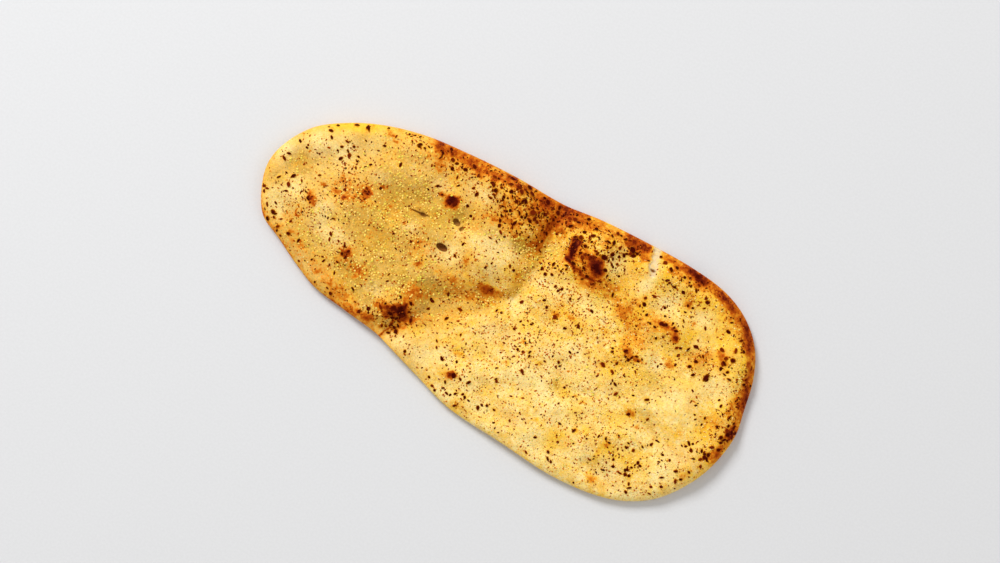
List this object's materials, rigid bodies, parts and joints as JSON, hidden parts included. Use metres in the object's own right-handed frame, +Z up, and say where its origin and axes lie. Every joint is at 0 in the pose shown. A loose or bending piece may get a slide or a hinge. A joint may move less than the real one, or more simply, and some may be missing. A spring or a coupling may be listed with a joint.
{
  "type": "naan bread",
  "caption": "Long leavened flatbread with herbs: an uneven oval with a rolled browned rim, gas bubbles, a crease across its waist, docking holes and fused herb flakes.",
  "frame": {"origin": "middle of the bread's bounding box, on the flat underside", "axes": "+X along the bread towards its wide end, +Y across it towards the browned rim, +Z up out of the top"},
  "size_m": [0.31, 0.144, 0.0171],
  "materials": {
    "crust": "baked crust, golden cream with brown blisters, matte with a faint oily sheen"
  },
  "bodies": {
    "root": {"naan": "crust"}
  },
  "joints": []
}
